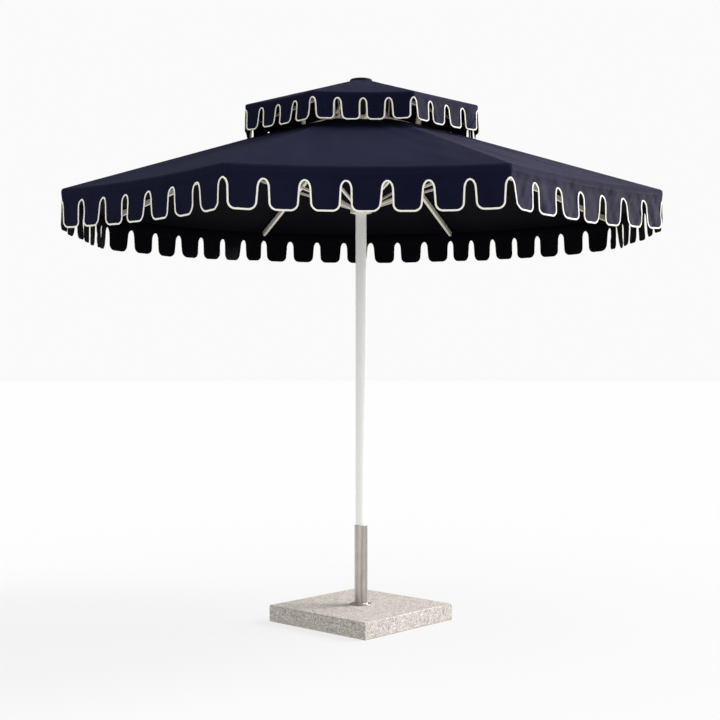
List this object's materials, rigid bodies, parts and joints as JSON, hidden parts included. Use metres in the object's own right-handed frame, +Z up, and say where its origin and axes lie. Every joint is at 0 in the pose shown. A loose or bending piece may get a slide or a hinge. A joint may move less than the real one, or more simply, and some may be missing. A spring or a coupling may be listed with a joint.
{
  "type": "patio umbrella with base",
  "caption": "Two-tier octagonal market umbrella with scalloped valances on a centre pole that stands in a steel sleeve on a square granite slab.",
  "frame": {"origin": "centre of the slab's underside, on the pole's axis", "axes": "+Z up along the pole; one side of the canopy faces -Y"},
  "size_m": [2.5352, 2.5352, 2.4952],
  "materials": {
    "navy_cloth": "woven polyester, matt with a soft sheen",
    "rib_metal": "champagne powder coat, satin",
    "pole_metal": "off-white powder coat, satin",
    "steel": "brushed along its length",
    "granite": "speckled grey granite, flamed top",
    "zinc": "zinc plated",
    "liner_plastic": "moulded",
    "foot_plastic": "moulded",
    "hub_plastic": "moulded, champagne",
    "cap_plastic": "moulded, dark navy"
  },
  "bodies": {
    "base": {"granite_slab": "granite", "flange_plate": "steel", "base_bolt": "zinc", "base_washer": "zinc", "ground_sleeve": "steel", "sleeve_liner": "liner_plastic"},
    "foot": {"foot_cup": "foot_plastic"},
    "pole": {"pole_tube": "pole_metal", "lower_hub": "hub_plastic", "hub_pins": "zinc", "upper_crown": "hub_plastic", "crown_pins": "zinc", "cap": "cap_plastic", "cap_screw": "zinc", "canopy_main": "navy_cloth", "canopy_top": "navy_cloth"},
    "runner": {"runner_body": "hub_plastic", "button_spring": "zinc"},
    "button": {"runner_button": "cap_plastic"},
    "rib_1": {"rib_1": "rib_metal"},
    "strut_1": {"strut_1": "rib_metal"},
    "top_rib_1": {"top_rib_1": "rib_metal"},
    "prop_1": {"prop_1": "rib_metal"},
    "rib_2": {"rib_2": "rib_metal"},
    "strut_2": {"strut_2": "rib_metal"},
    "top_rib_2": {"top_rib_2": "rib_metal"},
    "prop_2": {"prop_2": "rib_metal"},
    "rib_3": {"rib_3": "rib_metal"},
    "strut_3": {"strut_3": "rib_metal"},
    "top_rib_3": {"top_rib_3": "rib_metal"},
    "prop_3": {"prop_3": "rib_metal"},
    "rib_4": {"rib_4": "rib_metal"},
    "strut_4": {"strut_4": "rib_metal"},
    "top_rib_4": {"top_rib_4": "rib_metal"},
    "prop_4": {"prop_4": "rib_metal"},
    "rib_5": {"rib_5": "rib_metal"},
    "strut_5": {"strut_5": "rib_metal"},
    "top_rib_5": {"top_rib_5": "rib_metal"},
    "prop_5": {"prop_5": "rib_metal"},
    "rib_6": {"rib_6": "rib_metal"},
    "strut_6": {"strut_6": "rib_metal"},
    "top_rib_6": {"top_rib_6": "rib_metal"},
    "prop_6": {"prop_6": "rib_metal"},
    "rib_7": {"rib_7": "rib_metal"},
    "strut_7": {"strut_7": "rib_metal"},
    "top_rib_7": {"top_rib_7": "rib_metal"},
    "prop_7": {"prop_7": "rib_metal"},
    "rib_8": {"rib_8": "rib_metal"},
    "strut_8": {"strut_8": "rib_metal"},
    "top_rib_8": {"top_rib_8": "rib_metal"},
    "prop_8": {"prop_8": "rib_metal"}
  },
  "joints": [
    {"name": "pole_lift", "type": "slide", "parent": "base", "child": "foot", "axis": [0, 0, 1], "range_m": [0, 0.4]},
    {"name": "pole_turn", "type": "hinge", "parent": "foot", "child": "pole", "pos_m": [0, 0, 0.08], "axis": [0, 0, 1], "continuous": true},
    {"name": "runner_slide", "type": "slide", "parent": "pole", "child": "runner", "axis": [0, 0, -1], "range_m": [0, 0.8957], "deforming": ["canopy_main", "canopy_top"]},
    {"name": "button_press", "type": "slide", "parent": "runner", "child": "button", "axis": [0, -1, 0], "range_m": [0, 0.003], "stiffness_N_per_m": 600, "springref_m": -0.002, "deforming": ["button_spring"]},
    {"name": "rib_1_fold", "type": "hinge", "parent": "pole", "child": "rib_1", "pos_m": [0.03973, 0.01646, 2.30912], "axis": [-0.3827, 0.9239, 0], "range_deg": [0, 63.01]},
    {"name": "strut_1_fold", "type": "hinge", "parent": "rib_1", "child": "strut_1", "pos_m": [0.61962, 0.25665, 2.10508], "axis": [-0.3827, 0.9239, 0], "range_deg": [-126.01, 0]},
    {"name": "top_rib_1_fold", "type": "hinge", "parent": "pole", "child": "top_rib_1", "pos_m": [0.06375, 0.02641, 2.46111], "axis": [-0.3827, 0.9239, 0], "range_deg": [0, 63.01]},
    {"name": "prop_1_fold", "type": "hinge", "parent": "rib_1", "child": "prop_1", "pos_m": [0.25684, 0.10639, 2.24706], "axis": [-0.3827, 0.9239, 0], "range_deg": [-63.01, 0]},
    {"name": "rib_2_fold", "type": "hinge", "parent": "pole", "child": "rib_2", "pos_m": [0.01646, 0.03973, 2.30912], "axis": [-0.9239, 0.3827, 0], "range_deg": [0, 63.01]},
    {"name": "strut_2_fold", "type": "hinge", "parent": "rib_2", "child": "strut_2", "pos_m": [0.25665, 0.61962, 2.10508], "axis": [-0.9239, 0.3827, 0], "range_deg": [-126.01, 0]},
    {"name": "top_rib_2_fold", "type": "hinge", "parent": "pole", "child": "top_rib_2", "pos_m": [0.02641, 0.06375, 2.46111], "axis": [-0.9239, 0.3827, 0], "range_deg": [0, 63.01]},
    {"name": "prop_2_fold", "type": "hinge", "parent": "rib_2", "child": "prop_2", "pos_m": [0.10639, 0.25684, 2.24706], "axis": [-0.9239, 0.3827, 0], "range_deg": [-63.01, 0]},
    {"name": "rib_3_fold", "type": "hinge", "parent": "pole", "child": "rib_3", "pos_m": [-0.01646, 0.03973, 2.30912], "axis": [-0.9239, -0.3827, 0], "range_deg": [0, 63.01]},
    {"name": "strut_3_fold", "type": "hinge", "parent": "rib_3", "child": "strut_3", "pos_m": [-0.25665, 0.61962, 2.10508], "axis": [-0.9239, -0.3827, 0], "range_deg": [-126.01, 0]},
    {"name": "top_rib_3_fold", "type": "hinge", "parent": "pole", "child": "top_rib_3", "pos_m": [-0.02641, 0.06375, 2.46111], "axis": [-0.9239, -0.3827, 0], "range_deg": [0, 63.01]},
    {"name": "prop_3_fold", "type": "hinge", "parent": "rib_3", "child": "prop_3", "pos_m": [-0.10639, 0.25684, 2.24706], "axis": [-0.9239, -0.3827, 0], "range_deg": [-63.01, 0]},
    {"name": "rib_4_fold", "type": "hinge", "parent": "pole", "child": "rib_4", "pos_m": [-0.03973, 0.01646, 2.30912], "axis": [-0.3827, -0.9239, 0], "range_deg": [0, 63.01]},
    {"name": "strut_4_fold", "type": "hinge", "parent": "rib_4", "child": "strut_4", "pos_m": [-0.61962, 0.25665, 2.10508], "axis": [-0.3827, -0.9239, 0], "range_deg": [-126.01, 0]},
    {"name": "top_rib_4_fold", "type": "hinge", "parent": "pole", "child": "top_rib_4", "pos_m": [-0.06375, 0.02641, 2.46111], "axis": [-0.3827, -0.9239, 0], "range_deg": [0, 63.01]},
    {"name": "prop_4_fold", "type": "hinge", "parent": "rib_4", "child": "prop_4", "pos_m": [-0.25684, 0.10639, 2.24706], "axis": [-0.3827, -0.9239, 0], "range_deg": [-63.01, 0]},
    {"name": "rib_5_fold", "type": "hinge", "parent": "pole", "child": "rib_5", "pos_m": [-0.03973, -0.01646, 2.30912], "axis": [0.3827, -0.9239, 0], "range_deg": [0, 63.01]},
    {"name": "strut_5_fold", "type": "hinge", "parent": "rib_5", "child": "strut_5", "pos_m": [-0.61962, -0.25665, 2.10508], "axis": [0.3827, -0.9239, 0], "range_deg": [-126.01, 0]},
    {"name": "top_rib_5_fold", "type": "hinge", "parent": "pole", "child": "top_rib_5", "pos_m": [-0.06375, -0.02641, 2.46111], "axis": [0.3827, -0.9239, 0], "range_deg": [0, 63.01]},
    {"name": "prop_5_fold", "type": "hinge", "parent": "rib_5", "child": "prop_5", "pos_m": [-0.25684, -0.10639, 2.24706], "axis": [0.3827, -0.9239, 0], "range_deg": [-63.01, 0]},
    {"name": "rib_6_fold", "type": "hinge", "parent": "pole", "child": "rib_6", "pos_m": [-0.01646, -0.03973, 2.30912], "axis": [0.9239, -0.3827, 0], "range_deg": [0, 63.01]},
    {"name": "strut_6_fold", "type": "hinge", "parent": "rib_6", "child": "strut_6", "pos_m": [-0.25665, -0.61962, 2.10508], "axis": [0.9239, -0.3827, 0], "range_deg": [-126.01, 0]},
    {"name": "top_rib_6_fold", "type": "hinge", "parent": "pole", "child": "top_rib_6", "pos_m": [-0.02641, -0.06375, 2.46111], "axis": [0.9239, -0.3827, 0], "range_deg": [0, 63.01]},
    {"name": "prop_6_fold", "type": "hinge", "parent": "rib_6", "child": "prop_6", "pos_m": [-0.10639, -0.25684, 2.24706], "axis": [0.9239, -0.3827, 0], "range_deg": [-63.01, 0]},
    {"name": "rib_7_fold", "type": "hinge", "parent": "pole", "child": "rib_7", "pos_m": [0.01646, -0.03973, 2.30912], "axis": [0.9239, 0.3827, 0], "range_deg": [0, 63.01]},
    {"name": "strut_7_fold", "type": "hinge", "parent": "rib_7", "child": "strut_7", "pos_m": [0.25665, -0.61962, 2.10508], "axis": [0.9239, 0.3827, 0], "range_deg": [-126.01, 0]},
    {"name": "top_rib_7_fold", "type": "hinge", "parent": "pole", "child": "top_rib_7", "pos_m": [0.02641, -0.06375, 2.46111], "axis": [0.9239, 0.3827, 0], "range_deg": [0, 63.01]},
    {"name": "prop_7_fold", "type": "hinge", "parent": "rib_7", "child": "prop_7", "pos_m": [0.10639, -0.25684, 2.24706], "axis": [0.9239, 0.3827, 0], "range_deg": [-63.01, 0]},
    {"name": "rib_8_fold", "type": "hinge", "parent": "pole", "child": "rib_8", "pos_m": [0.03973, -0.01646, 2.30912], "axis": [0.3827, 0.9239, 0], "range_deg": [0, 63.01]},
    {"name": "strut_8_fold", "type": "hinge", "parent": "rib_8", "child": "strut_8", "pos_m": [0.61962, -0.25665, 2.10508], "axis": [0.3827, 0.9239, 0], "range_deg": [-126.01, 0]},
    {"name": "top_rib_8_fold", "type": "hinge", "parent": "pole", "child": "top_rib_8", "pos_m": [0.06375, -0.02641, 2.46111], "axis": [0.3827, 0.9239, 0], "range_deg": [0, 63.01]},
    {"name": "prop_8_fold", "type": "hinge", "parent": "rib_8", "child": "prop_8", "pos_m": [0.25684, -0.10639, 2.24706], "axis": [0.3827, 0.9239, 0], "range_deg": [-63.01, 0]}
  ],
  "couplings": [
    {"joint": "rib_1_fold", "follows": "runner_slide", "rad_per_m": 1.2276},
    {"joint": "strut_1_fold", "follows": "runner_slide", "rad_per_m": -2.4552},
    {"joint": "top_rib_1_fold", "follows": "runner_slide", "rad_per_m": 1.2276},
    {"joint": "prop_1_fold", "follows": "runner_slide", "rad_per_m": -1.2276},
    {"joint": "rib_2_fold", "follows": "runner_slide", "rad_per_m": 1.2276},
    {"joint": "strut_2_fold", "follows": "runner_slide", "rad_per_m": -2.4552},
    {"joint": "top_rib_2_fold", "follows": "runner_slide", "rad_per_m": 1.2276},
    {"joint": "prop_2_fold", "follows": "runner_slide", "rad_per_m": -1.2276},
    {"joint": "rib_3_fold", "follows": "runner_slide", "rad_per_m": 1.2276},
    {"joint": "strut_3_fold", "follows": "runner_slide", "rad_per_m": -2.4552},
    {"joint": "top_rib_3_fold", "follows": "runner_slide", "rad_per_m": 1.2276},
    {"joint": "prop_3_fold", "follows": "runner_slide", "rad_per_m": -1.2276},
    {"joint": "rib_4_fold", "follows": "runner_slide", "rad_per_m": 1.2276},
    {"joint": "strut_4_fold", "follows": "runner_slide", "rad_per_m": -2.4552},
    {"joint": "top_rib_4_fold", "follows": "runner_slide", "rad_per_m": 1.2276},
    {"joint": "prop_4_fold", "follows": "runner_slide", "rad_per_m": -1.2276},
    {"joint": "rib_5_fold", "follows": "runner_slide", "rad_per_m": 1.2276},
    {"joint": "strut_5_fold", "follows": "runner_slide", "rad_per_m": -2.4552},
    {"joint": "top_rib_5_fold", "follows": "runner_slide", "rad_per_m": 1.2276},
    {"joint": "prop_5_fold", "follows": "runner_slide", "rad_per_m": -1.2276},
    {"joint": "rib_6_fold", "follows": "runner_slide", "rad_per_m": 1.2276},
    {"joint": "strut_6_fold", "follows": "runner_slide", "rad_per_m": -2.4552},
    {"joint": "top_rib_6_fold", "follows": "runner_slide", "rad_per_m": 1.2276},
    {"joint": "prop_6_fold", "follows": "runner_slide", "rad_per_m": -1.2276},
    {"joint": "rib_7_fold", "follows": "runner_slide", "rad_per_m": 1.2276},
    {"joint": "strut_7_fold", "follows": "runner_slide", "rad_per_m": -2.4552},
    {"joint": "top_rib_7_fold", "follows": "runner_slide", "rad_per_m": 1.2276},
    {"joint": "prop_7_fold", "follows": "runner_slide", "rad_per_m": -1.2276},
    {"joint": "rib_8_fold", "follows": "runner_slide", "rad_per_m": 1.2276},
    {"joint": "strut_8_fold", "follows": "runner_slide", "rad_per_m": -2.4552},
    {"joint": "top_rib_8_fold", "follows": "runner_slide", "rad_per_m": 1.2276},
    {"joint": "prop_8_fold", "follows": "runner_slide", "rad_per_m": -1.2276}
  ]
}
